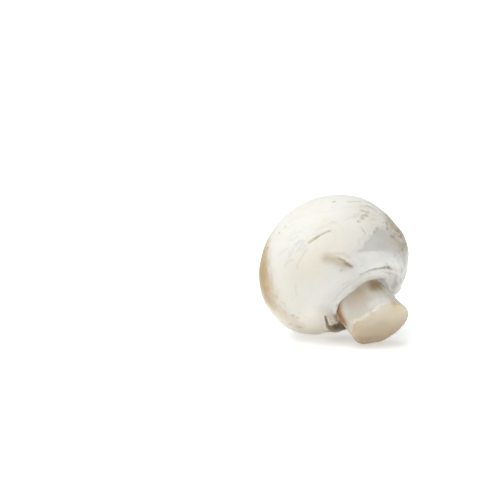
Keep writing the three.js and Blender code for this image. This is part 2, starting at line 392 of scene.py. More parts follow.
class Skin:
    """The skin as grids of rows by columns: its places, their coordinates and its outward normals."""

    def __init__(self):
        angles = column_angles()
        open_end = CAP_END_POLAR - OPEN_CAP_LESS * open_share(angles)
        cap_end = blend(open_end, SPLIT_CAP_END_POLAR, split_share(angles))
        cap_polar = row_shares()[:, None] * cap_end
        cap = cap_points(cap_polar, np.broadcast_to(angles, cap_polar.shape))
        lead = cap_points(cap_end * (PART_CAP_ROWS - 1) / PART_CAP_ROWS, angles)
        lower = [placed(past, out, angles, stem_middle(past)) for past, out in lower_section(angles)]
        steps = VEIL_STEPS + STEM_STEPS + RIM_STEPS + CUT_STEPS
        curve = curve_through(np.array([lead, cap[-1], *lower]), steps)
        self.place = np.concatenate([cap[:-1], curve])
        self.round = np.broadcast_to(angles, self.place.shape[:2])
        # How many points of the section a row is past the end of the cap
        spans = [i + np.arange(count) / count for i, count in enumerate(steps)]
        spans = np.concatenate([np.zeros(CAP_ROWS), *spans, [len(steps)]])
        self.span = np.broadcast_to(spans[:, None], self.round.shape)
        walked = np.linalg.norm(np.diff(self.place, axis=0, prepend=self.place[:1]), axis=-1)
        self.arc = np.cumsum(walked, axis=0)
        beyond = np.degrees((self.arc - self.arc[CAP_ROWS]) / CAP_RADIUS)
        self.polar = np.concatenate([cap_polar[:-1], cap_end + beyond[CAP_ROWS:]])
        # Where it is across the stem's axis
        from_cap = self.place - CAP_MIDDLE
        middle = stem_middle(from_cap @ AXIS)
        self.across = np.stack([from_cap @ UPPER - middle[0], from_cap @ FAR - middle[1]], axis=-1)
        self.normal = self.outward()

    def outward(self):
        """Unit normals of the grid."""
        down = np.gradient(self.place, axis=0)
        onward = np.roll(self.place, -1, axis=1) - np.roll(self.place, 1, axis=1)
        normal = np.cross(down, onward)
        normal[0] = -AXIS
        normal[-1] = AXIS
        length = np.linalg.norm(normal, axis=-1, keepdims=True)
        return normal / np.maximum(length, 1e-12)


skin = Skin()


def grid_mesh(name, place):
    """A closed mesh from a grid whose first and last rows are single points."""
    rows, columns = place.shape[:2]
    vertices = np.concatenate([place[:1, 0], place[1:-1].reshape(-1, 3), place[-1:, 0]]) * MM
    ring = np.arange(columns)
    following = (ring + 1) % columns
    last = 1 + (rows - 3) * columns
    faces = [[0, a, b] for a, b in zip((1 + ring).tolist(), (1 + following).tolist())]
    for row in range(rows - 3):
        a = 1 + row * columns + ring
        b = 1 + row * columns + following
        faces += np.stack([a, a + columns, b + columns, b], axis=-1).tolist()
    end = len(vertices) - 1
    faces += [[a, end, b] for a, b in zip((last + ring).tolist(), (last + following).tolist())]
    mesh = bpy.data.meshes.new(name)
    mesh.from_pydata(vertices.tolist(), [], faces)
    mesh.shade_smooth()
    mesh.update()
    return mesh


def grid_attribute(mesh, name, values):
    """Stores a grid of numbers, or of vectors, on the mesh's vertices."""
    vector = values.ndim == 3
    flat = np.concatenate([values[:1, 0], values[1:-1].reshape(-1, *values.shape[2:]), values[-1:, 0]])
    kind = "FLOAT_VECTOR" if vector else "FLOAT"
    layer = mesh.attributes.new(name, kind, "POINT")
    layer.data.foreach_set("vector" if vector else "value", np.ascontiguousarray(flat, np.float32).ravel())


# Noise and distances on the skin ==================================================

NOISE_STEP = np.array([17.3, 5.1, 9.7])  # how far apart two seeds are in the noise
VECTOR_NOISE_STEP = np.array([11.9, 7.3, 3.1])
noise.seed_set(1)  # vector noise differs from run to run without a seed


def noise_at(places, size, seed):
    """Smooth noise between about -1 and 1, with features of this size in millimetres."""
    moved = (places / size + seed * NOISE_STEP).reshape(-1, 3)
    values = [noise.fractal(point, 1, 2, 2, noise_basis="PERLIN_ORIGINAL") for point in moved.tolist()]
    return np.array(values).reshape(places.shape[:-1])


def noise_vectors(places, size, seed):
    """Smooth noise in three directions, with features of this size in millimetres."""
    moved = (places / size + seed * VECTOR_NOISE_STEP).reshape(-1, 3)
    values = [noise.noise_vector(point) for point in moved.tolist()]
    return np.array(values).reshape(places.shape)


# How far a fully ragged line strays from its course
stray = 0.5 * noise_vectors(skin.place, 1.7, 1) + 0.3 * noise_vectors(skin.place, 0.8, 2)


def path(*places):
    """Points of the skin at places (polar, round). Past the cap, "polar" grows with the way walked."""
    points = []
    for polar, round_ in places:
        column = np.abs(wrapped(skin.round[0] - round_)).argmin()
        points.append([np.interp(polar, skin.polar[:, column], skin.place[:, column, k]) for k in range(3)])
    return np.array(points)


def beside(points, raggedness=0.0, reach=12):
    """How far each place of the skin is from a line of points, and on which side: 1 is on the right of
    someone who walks the line on the skin's outside. Places out of reach get the reach."""
    away = np.full(skin.round.shape, float(reach))
    side = np.ones(skin.round.shape)
    centre = points.mean(axis=0)
    radius = np.linalg.norm(points - centre, axis=-1).max() + reach
    near = np.linalg.norm(skin.place - centre, axis=-1) < radius
    places = skin.place[near] + raggedness * stray[near]
    nearest = np.full(len(places), float(reach))
    turn = np.ones(len(places))
    for start, end in zip(points[:-1], points[1:]):
        line = end - start
        from_start = places - start
        along = np.clip(from_start @ line / (line @ line), 0, 1)
        offset = from_start - along[:, None] * line
        distance = np.linalg.norm(offset, axis=-1)
        closer = distance < nearest
        nearest[closer] = distance[closer]
        right = np.einsum("ij,ij->i", np.cross(line, skin.normal[near]), offset)
        turn[closer] = np.sign(right[closer])
    away[near] = nearest
    side[near] = turn
    return away, side


# Marks: tears, creases, folds and stains ==========================================

# From the lowest to the topmost
TONES = ("light", "cream", "tan", "brown", "grey", "pink", "rust", "yellow", "pale", "dark")
height = np.zeros(skin.round.shape)
tones = {tone: np.zeros(skin.round.shape) for tone in TONES}


def stain(tone, strength):
    """Adds to a tone, never past 1."""
    tones[tone][:] = 1 - (1 - tones[tone]) * (1 - np.clip(strength, 0, 1))


def mark(places, wide, rise=0.0, ragged=0.4, shift=0.0, within=1.0, **stains):
    """A groove or ridge along a line of places, with stains as strong as given. "shift" moves it to the
    right, and "within" is the share of it that each part of the skin takes."""
    away, side = beside(path(*places), ragged, reach=max(3 * wide, 1.5))
    across = away * side - shift if shift else away
    shape = within * bump(across, wide)
    height[:] += rise * shape
    for tone, strength in stains.items():
        stain(tone, strength * shape)


def tear(places, groove, edge, ragged, **stains):
    """A stained groove, as (half-width, depth), and the pale edge lifted on its left, as (half-width,
    height, distance from the groove, paleness)."""
    mark(places, groove[0], -groove[1], ragged, **stains)
    mark(places, edge[0], edge[1], ragged, shift=-edge[2], pale=edge[3])


def spot(polar, round_, wide, rise=0.0, ragged=0.5, **stains):
    """A round mark."""
    mark([(polar, round_), (polar, round_ + 1)], wide, rise, ragged, **stains)


def round_lobe(middle, width):
    """1 along a line from the crown to the cut, at an angle about the axis."""
    return lobe(skin.round, middle, width)


def span_lobe(middle, width):
    """1 along a ring, so many points of the section past the cap's end."""
    return bump(skin.span - middle, width)


stem_side = smooth(skin.span, 4.4, 5)  # the stem's side of the veil's lip

# Broad tones of the cap -----------------------------------------------------------


def cap_tones():
    """Painted warm reflection and shade of neighbouring mushrooms on the near side, creamy and grey
    patches, and painted shade on the lower side.
    """
    # Painted shade: the downward-facing cap is a little greyer.
    underside = smooth(-skin.normal[..., 2], -0.5, 0.8) * (1 - smooth(skin.span, 0, 1))
    stain("grey", 0.1 * underside)
    # Painted warm reflection and shade of neighbouring mushrooms along the near side's left edge, in tan,
    # yellow, rust and brown.
    patchy = np.clip(1 + 0.35 * noise_at(skin.place, 5, 15), 0, 1)
    mark([(50, -99), (62, -101), (73, -101), (84, -104), (92, -108)], 5.4, ragged=2.5, within=patchy,
         tan=1, yellow=0.3)
    mark([(98, -112), (110, -116), (120, -123)], 6, ragged=2.5, within=patchy, tan=0.15)
    mark([(58, -101), (70, -103), (84, -107), (92, -111)], 3.6, ragged=2, within=patchy,
         rust=0.4, brown=0.4)
    mark([(66, -93), (74, -95), (82, -97)], 3.2, ragged=2, within=patchy, rust=0.22, tan=0.3)
    mark([(104, -112), (118, -118), (127, -134), (133, -152), (134, -165)], 3.2, ragged=2,
         cream=0.5, tan=0.15)
    mark([(118, -60), (114, -48), (112, -38)], 5.5, ragged=2, cream=0.45)
    mark([(106, -70), (118, -78), (128, -92)], 5, ragged=2, cream=0.3, grey=0.12)
    mark([(122, -108), (131, -94), (134, -74), (134, -54), (136, -42)], 3.5, ragged=2, grey=0.2)
    mark([(120, -112), (128, -118), (131, -132)], 1.8, ragged=1.5, tan=0.35, pink=0.2)
    mark([(96, -24), (106, -18)], 4, ragged=2, cream=0.3)
    mark([(60, 130), (75, 160), (90, 175)], 7, ragged=3, cream=0.5)
    mark([(40, 20), (30, 90)], 6, ragged=3, cream=0.4)
    mark([(20, -120), (32, 170)], 6, ragged=3, cream=0.45, tan=0.15)
    mark([(104, 90), (112, 120)], 5, ragged=3, cream=0.4, pink=0.2)
    mark([(118, 150), (124, 172)], 4, ragged=2, tan=0.3)


# Torn skin of the cap -------------------------------------------------------------


def torn_streak():
    """A shallow tear in the middle of the cap. It is widest at its lower end."""
    mark([(94.9, -46.5), (95, -43), (94.6, -39)], 0.42, -0.12, 0.3, brown=0.2, tan=0.45)
    mark([(94.8, -42), (94.6, -37), (94.6, -34.4), (95.3, -29.5)], 0.26, -0.12, 0.15, brown=0.4, tan=0.4)
    mark([(94.9, -46), (94.6, -38), (95.2, -29.5)], 0.34, 0.1, 0.2, shift=-0.62, pale=0.5)


def torn_facet():
    """Where the cap's outer skin has torn away and left a smooth grey facet, a little lower down."""
    edge = path(
        (101.5, 13), (104.3, 6.3), (108.7, 1.6), (112, -3.4), (114.9, -6.4), (117.3, -9.4),
        (120.7, -12.4), (123.4, -16), (125.5, -19.7), (127, -23.3), (128.6, -27),
    )
    away, side = beside(edge, 1.6, reach=11)
    across = -away * side
    facet = smooth(across, 0.1, 1.2) * (1 - smooth(across, 4.5, 9.5))
    lower_edge = 129.6 - 0.14 * np.abs(wrapped(skin.round - 2)) + 1.6 * noise_at(skin.place, 3, 12)
    facet *= smooth(skin.polar, 99, 109) * (1 - smooth(skin.polar - lower_edge, -4, 2))
    height[:] -= 0.3 * facet
    height[:] += 0.17 * bump(across + 0.35, 0.4)
    edge_share = smooth(skin.polar, 100, 104) * (1 - smooth(skin.polar, 126, 129))
    stain("grey", 0.58 * facet)
    stain("tan", 0.18 * facet * smooth(noise_at(skin.place, 3, 13), -0.3, 0.4))
    stain("pale", 0.5 * edge_share * bump(across + 0.3, 0.4))
    # Painted shadow under the lifted edge, on the facet's side.
    stain("grey", 0.15 * edge_share * bump(across - 0.35, 0.3))
    stain("pink", 0.35 * edge_share * bump(across + 0.7, 0.6))


def dented_fold():
    """A fold in the middle of the shoulder, with a hollow on its lower side."""
    mark([(117.3, -36.5), (119.1, -33.1), (122.3, -29.6), (126.1, -27.5), (130.5, -26.8), (135.7, -27.3)],
         0.7, 0.2, 0.3, pink=0.4)
    # The brown and tan in the crease and the hollow below it are partly a bruise and partly painted shade.
    mark([(123.4, -33.9), (126.9, -32.5), (130.6, -31.5), (134.6, -30.2)], 0.36, -0.28, 0.2,
         brown=0.45, tan=0.4)
    mark([(118, -42), (121.2, -38), (126, -35.4), (131, -33.4)], 1.5, -0.12, 0.6, tan=0.5, cream=0.4)
    mark([(131, -31), (134.8, -29.6)], 0.4, -0.15, 0.2, brown=0.4)


def margin_creases():
    """The crease between the cap's margin and the veil, its fork, and the pale lobe above it."""
    mark([(130.9, -8), (129.9, 2), (131.7, 11.2), (134.6, 16.1)], 0.7, 0.14, 0.5, pale=0.5)
    mark([(134.5, -11), (134, 0), (134.5, 10), (137, 20), (138, 32)], 1.9, 0, 0.6, pale=0.4)
    mark([(138, -30), (138, -10), (139, 10)], 2.6, 0, 1.0, grey=0.3)
    mark([(140, -22), (139.6, 0)], 1.4, 0.1, 0.5, pale=0.5)
    mark([(144.3, -26), (144, -19), (143.8, -12.5), (144, -5.8)], 0.34, -0.3, 0.12, grey=0.8, dark=0.1)
    mark([(143.9, -6), (143.9, 1.8), (143.4, 9)], 0.3, -0.3, 0.12, grey=0.85, dark=0.2)
    mark([(143.5, 8), (142.9, 12), (143.5, 16)], 0.34, -0.2, 0.3, grey=0.6, dark=0.2)
    mark([(143.4, 15), (144, 20)], 0.42, -0.2, 0.3, grey=0.6, dark=0.2)
    mark([(145, 11.6), (147.5, 10.8), (150.4, 8)], 0.32, -0.12, 0.2, grey=0.5)


TEAR_LONGEST = 5  # degrees from a small tear's middle to its end, where the cap is widest
TEAR_DEPTH = 0.09
TEAR_RISE = 0.07
TEAR_EDGE = 0.5  # from the middle of a tear to its lifted edge


def fibre_tears(count, polars, rounds, strength, seed):
    """Small tears of the cap's skin. They run round the cap, each with a lifted edge on its upper side."""
    draw = np.random.default_rng(seed)
    for _ in range(count):
        polar = draw.uniform(*polars)
        round_ = draw.uniform(*rounds)
        half = draw.uniform(0.8, 1) ** 4 * TEAR_LONGEST / sine(polar)
        slope = draw.normal(0.06, 0.3)
        bend = draw.normal(0, 0.8)
        places = [
            (polar + slope * turn + bend * (1 - (turn / half) ** 2), round_ + turn)
            for turn in (-half, 0, half)
        ]
        wide = draw.uniform(0.24, 0.36)
        depth = strength * draw.uniform(0.4, 1)
        edge = (wide, TEAR_RISE * depth, TEAR_EDGE, 0.35 * depth)
        tear(places, (wide, TEAR_DEPTH * depth), edge, 0.45, grey=0.42 * depth, brown=0.16 * depth)


def upper_cracks():
    """Cracks of the upper far side, and the small tears there and over the rest of the cap."""
    for places in (
        [(70.4, -3.4), (71.3, 0.8), (71.4, 5.4), (71.8, 8.3)],
        [(70.3, 19.4), (70.9, 23.6)],
        [(77.9, 4.2), (78.5, 8.8), (79.4, 13.6)],
        [(79.4, 13.6), (80.7, 17.2), (81.9, 20.1)],
        [(74.8, 28.3), (77.1, 33.9), (76.9, 43.5)],
        [(88.9, 27), (89.7, 36.4)],
        [(102.7, -6.2), (106.2, -5.8), (109.6, -4.9)],
        [(125.5, 31.5), (129.5, 25), (132.3, 20.2)],
    ):
        tear(places, (0.28, 0.12), (0.3, 0.07, TEAR_EDGE, 0.4), 0.35, grey=0.5, brown=0.15)
    for places in (
        [(71.2, 16), (72.6, 19), (76, 20.5), (77.7, 22.6)],
        [(77.4, 25), (80.6, 27), (83, 29.5), (83.6, 35)],
        [(90.5, 24), (91.8, 29), (92.4, 36), (94.7, 39)],
        [(96.6, 40), (99.2, 42.3), (104, 43)],
        [(77, 9.6), (79.1, 12.6), (82.7, 14.5), (85, 16.4)],
        [(83, 0.3), (84.6, 3.2), (87.1, 5.8)],
        [(89.9, -1.8), (88.8, 3.1)],
    ):
        tear(places, (0.26, 0.16), (0.3, 0.08, TEAR_EDGE, 0.4), 0.5, grey=0.35, brown=0.4, dark=0.1)
    mark([(84, 5), (91, 7), (99, 8)], 3.8, 0, 2.0, cream=0.45, grey=0.1)
    fibre_tears(18, (66, 90), (-6, 40), 0.5, 1)
    fibre_tears(10, (88, 104), (-12, 24), 0.5, 2)
    fibre_tears(70, (40, 118), (60, 260), 0.4, 3)
    fibre_tears(26, (45, 92), (-60, -8), 0.32, 4)
    fibre_tears(14, (84, 98), (-70, -50), 0.4, 5)


def brown_zone():
    """The brown and fibrous skin beside the facet."""
    mark([(89, 36), (95, 38), (103, 42), (111, 43)], 3.4, 0, 1.6, brown=0.5, tan=0.6)
    mark([(95, 30), (104, 33), (112, 33)], 3.0, 0, 1.5, tan=0.8, brown=0.3, yellow=0.15)
    mark([(98, 24), (105, 26), (113, 24)], 2.2, 0, 1.5, grey=0.15, tan=0.15)
    mark([(116, 36), (124, 36)], 2, 0, 1.2, grey=0.35, tan=0.3)
    mark([(114, 16), (117, 22), (118, 28)], 2.4, 0, 1.2, tan=0.3, grey=0.1)
    mark([(126, 7), (127, 14), (127, 22)], 1.8, 0, 1.2, grey=0.5, tan=0.15)
    for places in (
        [(101, 36), (104.5, 34)], [(101.6, 33), (103.5, 31)], [(110.5, 26.5), (113, 25)],
        [(111, 23.8), (112.3, 22)], [(96, 38), (100, 40)], [(97.7, 21), (99.5, 20.5)],
        [(102.8, 20), (104.5, 19.4)], [(106, 37), (108, 36)],
    ):
        mark(places, 0.34, -0.14, 0.4, brown=0.6, dark=0.3)
    fibre_tears(20, (92, 116), (24, 46), 0.9, 6)


SPOT_SEED = 11
BACK_SPOTS = 46
NEAR_SPOTS = 16


def cap_spots():
    """Small brown spots in their places, and more of them scattered over the back and the near side."""
    for polar, round_, wide, strength in (
        (95.5, -7, 0.4, 0.6), (90.5, 2.7, 0.42, 0.5), (92.2, -2.1, 0.6, 0.35), (108.8, 3.4, 0.42, 0.6),
        (105.4, 7.3, 0.36, 0.45), (85.8, 6.7, 0.34, 0.4), (87.1, 18.4, 0.36, 0.4),
        (121.8, 36.3, 0.48, 0.95), (65.8, -14.3, 0.34, 0.7), (63.2, -58.9, 0.32, 0.4),
        (63.9, -66.5, 0.36, 0.35), (63.6, -85.8, 0.42, 0.8), (62.6, -92.3, 0.4, 0.7),
        (133.3, -40.1, 0.36, 0.35), (137.4, -22.1, 0.32, 0.3), (121.5, -110.9, 0.5, 0.35),
        (127.9, -112.3, 0.6, 0.45), (130.7, -114.6, 0.5, 0.35), (124.9, -128.7, 0.5, 0.45),
        (131.2, -133.8, 0.55, 0.5), (129.6, -131.5, 0.4, 0.35),
    ):
        spot(polar, round_, wide, -0.08, brown=strength, dark=0.25 * strength)
    draw = np.random.default_rng(SPOT_SEED)
    for _ in range(BACK_SPOTS):
        polar = np.degrees(np.arccos(draw.uniform(-0.6, 0.97)))
        spot(polar, draw.uniform(50, 250), draw.uniform(0.3, 0.6), -0.05, brown=draw.uniform(0.15, 0.6))
    for _ in range(NEAR_SPOTS):
        polar = draw.uniform(100, 136)
        round_ = draw.uniform(-135, -95)
        spot(polar, round_, draw.uniform(0.3, 0.6), tan=draw.uniform(0.15, 0.4))


def near_scratches():
    """Faint scratches and an arc on the near side."""
    for places in (
        [(90.2, -65.3), (88.3, -60.1), (86.4, -56.2)],
        [(90.1, -60.8), (87.2, -51.7)],
        [(94.5, -58.9), (90.6, -49.4)],
        [(92.8, -66), (90.6, -60)],
    ):
        tear(places, (0.26, 0.06), (0.3, 0.05, TEAR_EDGE, 0.4), 0.3, grey=0.3)
    arc = [(99.8, -50.7), (100.6, -53.5), (102.7, -57), (104, -60.4), (105.8, -63.5), (108, -65.7)]
    mark(arc, 0.34, -0.09, 0.2, grey=0.2, tan=0.1)
    mark([(118, -76), (121, -80), (124, -84)], 0.36, -0.1, 0.3, tan=0.2)


# Veil -----------------------------------------------------------------------------


def veil_lip():
    """The veil's torn edge: ragged, pale and thin, with grey bruises above it."""
    torn = torn_share(skin.round) * (1 - split_share(skin.round))
    tatters = noise_at(skin.place, 0.8, 21) + 0.6 * noise_at(skin.place, 2.2, 22)
    height[:] += 0.2 * tatters * torn * span_lobe(2.6, 1.2)
    stain("pale", 0.8 * torn * span_lobe(3.4, 0.9))
    mark([(144, -50), (144.6, -46)], 0.34, -0.1, 0.3, grey=0.45)
    mark([(144.8, -43.5), (145.4, -40)], 0.34, -0.1, 0.3, grey=0.45)
    mark([(148, -55), (148.5, -49), (149, -42)], 0.3, -0.12, 0.25, grey=0.4)
    mark([(146, -74), (147.5, -50), (148, -28)], 2.8, 0, 1.2, grey=0.45)
    spot(149.7, -13, 0.42, -0.1, grey=0.8, dark=0.3)
    mark([(150, 20), (150.5, 30)], 0.5, -0.1, 0.3, grey=0.6, dark=0.15)


def veil_hollow():
    """The tan and brown hollow under the open veil with painted light, and painted shade inside the veil
    and along the stem.
    """
    near = round_lobe(-25, 75)
    # Painted light that lifts the shade the cap casts into the hollow and on the stem's top.
    stain("light", 0.9 * span_lobe(7.4, 0.55) * near)
    stain("light", 0.7 * smooth(skin.span, 4.4, 5.2) * (1 - smooth(skin.span, 6.6, 7.2)) * near)
    mark([(163, -3), (162.8, 4), (162.4, 12)], 1.0, 0, 0.5, within=stem_side, tan=0.9, brown=0.2)
    mark([(166.2, -6), (166, 0), (165.6, 8)], 1.1, 0, 0.6, within=stem_side, tan=0.9, brown=0.2, rust=0.25)
    mark([(168.6, -10), (168.6, -1), (168.6, 8)], 1.2, 0, 0.6, within=stem_side, tan=0.8, brown=0.15)
    # Painted light, tinted yellow and tan, over the shade under the veil's near side.
    mark([(166, -40), (165.8, -28), (163.4, -14)], 1.7, 0, 0.8, within=stem_side,
         light=0.8, yellow=0.3, tan=0.25)
    mark([(157.6, -12), (157.6, 0), (158, 10)], 0.6, 0, 0.3, pink=0.6, tan=0.5, brown=0.2)
    # Painted shade: the grey line in the veil's fold, the grey of its inner side, and the dark line where
    # it meets the stem.
    mark([(157.1, 12), (158, 22), (157.7, 31)], 0.45, -0.1, 0.2, grey=0.9, dark=0.25)
    mark([(159.9, 26), (159.7, 41), (159.3, 52)], 1.0, 0, 0.3, within=stem_side, grey=0.8)
    mark([(162.3, 19), (165.3, 23), (166.4, 32), (166.9, 40), (169, 46)], 0.32, -0.14, 0.2,
         within=stem_side, brown=0.7, dark=0.3)


PLEAT_EDGE = 0.6  # from the furrow beside a pleat to the pleat's middle


def veil_pleats():
    """Fine folds of the veil on the far side, where it is drawn to the stem."""
    mark([(132, 30), (137, 41), (146, 56), (149, 72)], 2.4, 0, 1.0, grey=0.7)
    for places in (
        [(138.6, 7.9), (143.6, 17), (150.2, 28.4), (152.7, 51.6)],
        [(135.5, 16.1), (140.4, 26.6), (146.3, 35.2), (148.4, 62.1), (146.1, 83.1)],
        [(131.4, 25.5), (137.1, 33.1), (141.9, 44.4), (144.9, 63.3), (143.6, 83.9)],
        [(147, 24), (149, 42), (150, 64)],
        [(140, 52), (146, 68), (150, 86)],
    ):
        tear(places, (0.3, 0.16), (0.4, 0.12, PLEAT_EDGE, 0.5), 0.15, grey=0.4)
    for round_ in range(70, 165, 9):
        lean = 4 * sine(37 * round_)
        places = [(139, round_ + lean), (148, round_)]
        tear(places, (0.34, 0.12), (0.4, 0.1, PLEAT_EDGE, 0.3), 0.3, grey=0.3)


def split_shreds():
    """The shredded veil behind the split, and the pinkish wedge between it and the margin lifted with
    painted light, with painted shade beside the wedge, along the flap's edge and on the lower side."""
    behind = behind_split(skin.round)
    split = split_share(skin.round)
    deep = split * smooth(behind, 5, 14)
    lower = split * smooth(behind, 50, 66)
    strips = np.stack([skin.across[..., 0], skin.across[..., 1], 0.35 * skin.arc], axis=-1)
    shreds = noise_at(strips, 0.8, 31) + 0.5 * noise_at(skin.place, 0.7, 32)
    inner = smooth(skin.span, 3.4, 4.2) * (1 - smooth(skin.span, 6.8, 7.5)) * split
    height[:] += 0.34 * shreds * inner
    stain("cream", 0.6 * inner)
    stain("tan", 0.55 * inner * smooth(shreds, -0.5, 0.5))
    stain("grey", 0.6 * inner * smooth(-shreds, -0.2, 0.3))
    stain("brown", 0.3 * inner * smooth(-shreds, 0.15, 0.5))
    stain("pale", 0.7 * deep * span_lobe(3.9, 0.18) * (1 - lower))
    # Painted light, tinted pink, lifts the shade the flap casts into the wedge; painted shade darkens the
    # flap's undercut edge.
    wedge = deep * smooth(skin.span, 1.2, 2.4) * (1 - smooth(skin.span, 3.3, 3.7))
    stain("pink", 0.25 * wedge)
    stain("light", wedge)
    stain("brown", 0.2 * deep * span_lobe(3.3, 0.25))
    stain("dark", 0.12 * deep * span_lobe(3.3, 0.2))
    height[:] += 0.14 * noise_at(skin.place, 0.9, 33) * deep * span_lobe(1.8, 0.8)
    # Painted shade of the split's lower side.
    under = lower * smooth(skin.span, 2.6, 3.6) * (1 - smooth(skin.span, 7, 7.6))
    stain("brown", 0.6 * under)
    stain("dark", 0.2 * under)
    # Painted soft shade on the margin's side of the wedge.
    mark([(147, -104), (149.4, -119), (149.4, -136), (147, -149), (143, -158)], 1.9, 0, 0.5, pink=0.4)
    mark([(150, -108), (151, -122), (150.5, -138), (148, -152)], 0.9, 0, 0.5, brown=0.1, grey=0.2)
    mark([(146, -93), (150.5, -99), (153.5, -102)], 2.2, 0, 1.2, grey=0.4, tan=0.15)
    mark([(153, -104), (155, -106)], 0.6, -0.1, 0.4, grey=0.6, brown=0.2)
    mark([(162, -118), (163.5, -119)], 0.5, -0.1, 0.4, grey=0.7, brown=0.2)
    mark([(166.3, -126), (166.8, -132)], 0.5, -0.1, 0.4, grey=0.7, brown=0.3)
    # Painted light, tinted pink, lifts the shade in the cavity below the flap.
    mark([(165.8, -128), (165.4, -140), (164.5, -150)], 1.3, 0, 0.4, within=stem_side,
         light=0.8, pink=0.8)
    mark([(148.5, -157), (146.5, -166)], 1.2, 0, 0.8, tan=0.6, yellow=0.2)
    mark([(149.6, -172), (149, -178), (147, 178)], 1.2, 0, 0.5, brown=0.8, dark=0.5)
    spot(142.7, -161, 0.6, -0.2, brown=0.6, dark=0.6)


# Stem and cut ---------------------------------------------------------------------


def stem_marks():
    """The orange stain where the stem meets the split, the stem's pinkish, tan and pale patches, and a
    painted highlight.
    """
    bare_stem = smooth(skin.span, 6.4, 7)  # the stem without the hollow at its top
    mark([(157, -86), (159, -89)], 0.8, 0, 0.3, tan=0.6)
    mark([(159.5, -91), (162, -98), (165, -105)], 1.8, 0, 0.25, within=bare_stem, rust=1)
    mark([(166.5, -108), (169.5, -115), (172.5, -122)], 1.5, 0, 0.25, within=bare_stem, rust=1, brown=0.2)
    mark([(158.8, -97), (159.5, -103), (160.5, -108)], 0.4, -0.08, 0.2, within=stem_side,
         brown=0.6, dark=0.3)
    mark([(171, -123), (174, -124), (178, -126)], 1.0, 0, 0.3, within=stem_side,
         brown=0.6, yellow=0.3, tan=0.4)
    mark([(167, -62), (167.6, -50), (168.1, -40), (173.2, -38)], 1.9, 0, 0.8, within=stem_side,
         pink=0.8, tan=0.6)
    mark([(170, -60), (172, -51), (175, -47)], 1.6, 0, 0.8, within=stem_side, pink=0.4)
    # Painted highlight on the near side of the stem.
    mark([(179.3, -32), (179, -14), (180, -2)], 1.6, 0, 0.5, pale=0.6)
    mark([(183.3, -24), (183, -12), (182, 0)], 1.0, 0, 0.5, light=0.4)
    mark([(172, 30), (180, 40)], 2, 0, 0.6, pale=0.3)
    mark([(186, -118), (182, -140), (180, 170)], 2, 0, 0.6, cream=0.6, tan=0.3)
    mark([(178, 80), (184, 120)], 1.6, 0, 0.8, tan=0.35)


def cut_rim():
    """The torn skin that stands up round the cut on its near side."""
    rim = path(
        (175.7, -89.3), (178.9, -78.7), (181.4, -68.6), (182.8, -59.8), (184.1, -47.3), (184.9, -33.2),
        (185.2, -19.2), (184.8, -8.6), (183.5, 2.7),
    )
    away, _ = beside(rim, 0.7, reach=2)
    broken = 0.35 + 0.65 * smooth(noise_at(skin.place, 1.3, 41), -0.4, 0.5)
    height[:] += 0.13 * broken * bump(away, 0.3)
    stain("light", broken * bump(away, 0.45))
    spot(184.8, -42, 0.5, -0.15, brown=0.35, grey=0.3)
    spot(185, -15, 0.34, 0.15, pale=0.9)


def cut_marks():
    """Yellow stains at the cut's far rim, a rusty tan stain low on it, and painted shade across its lower
    middle.
    """
    mark([(184.2, 6), (187, 10.7)], 0.55, 0, 0.3, rust=0.4, yellow=0.7)
    mark([(189.5, 19), (189.4, 27), (188, 37)], 0.8, 0, 0.4, yellow=0.6)
    mark([(192.6, -126), (195, -144), (200, -160)], 1.3, 0, 0.6, rust=0.15, tan=0.2)
    # Painted shade across the cut's lower middle.
    mark([(191, -100), (197, -95), (203, -50)], 2.4, 0, 1.0, grey=0.25, tan=0.6)


cap_tones()
torn_streak()
torn_facet()
dented_fold()
margin_creases()
upper_cracks()
brown_zone()
cap_spots()
near_scratches()
veil_lip()
veil_hollow()
veil_pleats()
split_shreds()
stem_marks()
cut_rim()
cut_marks()

# Grain of the whole skin ==========================================================

# Where the stem's skin ends and the cut's flesh begins, at angles about the axis
CUT_EDGE_ROUNDS = (-180, -150, -110, -85, -65, -48, -30, -12, 10, 40, 75, 110, 180)
CUT_EDGE_SPANS = (10.9, 10.4, 9.8, 9.3, 9.8, 10.9, 10.5, 9.9, 9.8, 9.6, 10.4, 10.9, 10.9)
CUT_SHADED_ROUND = 178  # the side of the cut with painted shade and browner flesh
FIBRE_SHORTENING = 0.16  # how wide the stem's fibres are for their length
RING_SHORTENING = 0.2

# How far each place belongs to the cap, the cut, the stem and the veil
on_cap_share = 1 - smooth(skin.span, 1, 3)
cut_edge = np.interp(wrapped(skin.round), CUT_EDGE_ROUNDS, CUT_EDGE_SPANS)
cut_share = smooth(skin.span - cut_edge, -0.1, 0.9)
stem_share = smooth(skin.span, 5, 7) * (1 - cut_share)
veil_share = np.clip(1 - on_cap_share - np.maximum(stem_share, cut_share), 0, 1)

# Places drawn together along the stem, and round the axis, so that noise in them makes fibres and rings
across_upper, across_far = skin.across[..., 0], skin.across[..., 1]
fibre = np.stack([across_upper, across_far, FIBRE_SHORTENING * skin.arc], axis=-1)
rings = np.stack([RING_SHORTENING * across_upper, RING_SHORTENING * across_far, skin.arc], axis=-1)

on_cut = smooth(skin.span, 10.9, 12)
# Painted shade on the cut's lower side, with browner flesh there.
cut_side = skin.across @ np.array([cosine(CUT_SHADED_ROUND), sine(CUT_SHADED_ROUND)])
cut_shade_and_browning = smooth(cut_side + 1.2 * noise_at(skin.place, 4, 10), -7.5, 1)

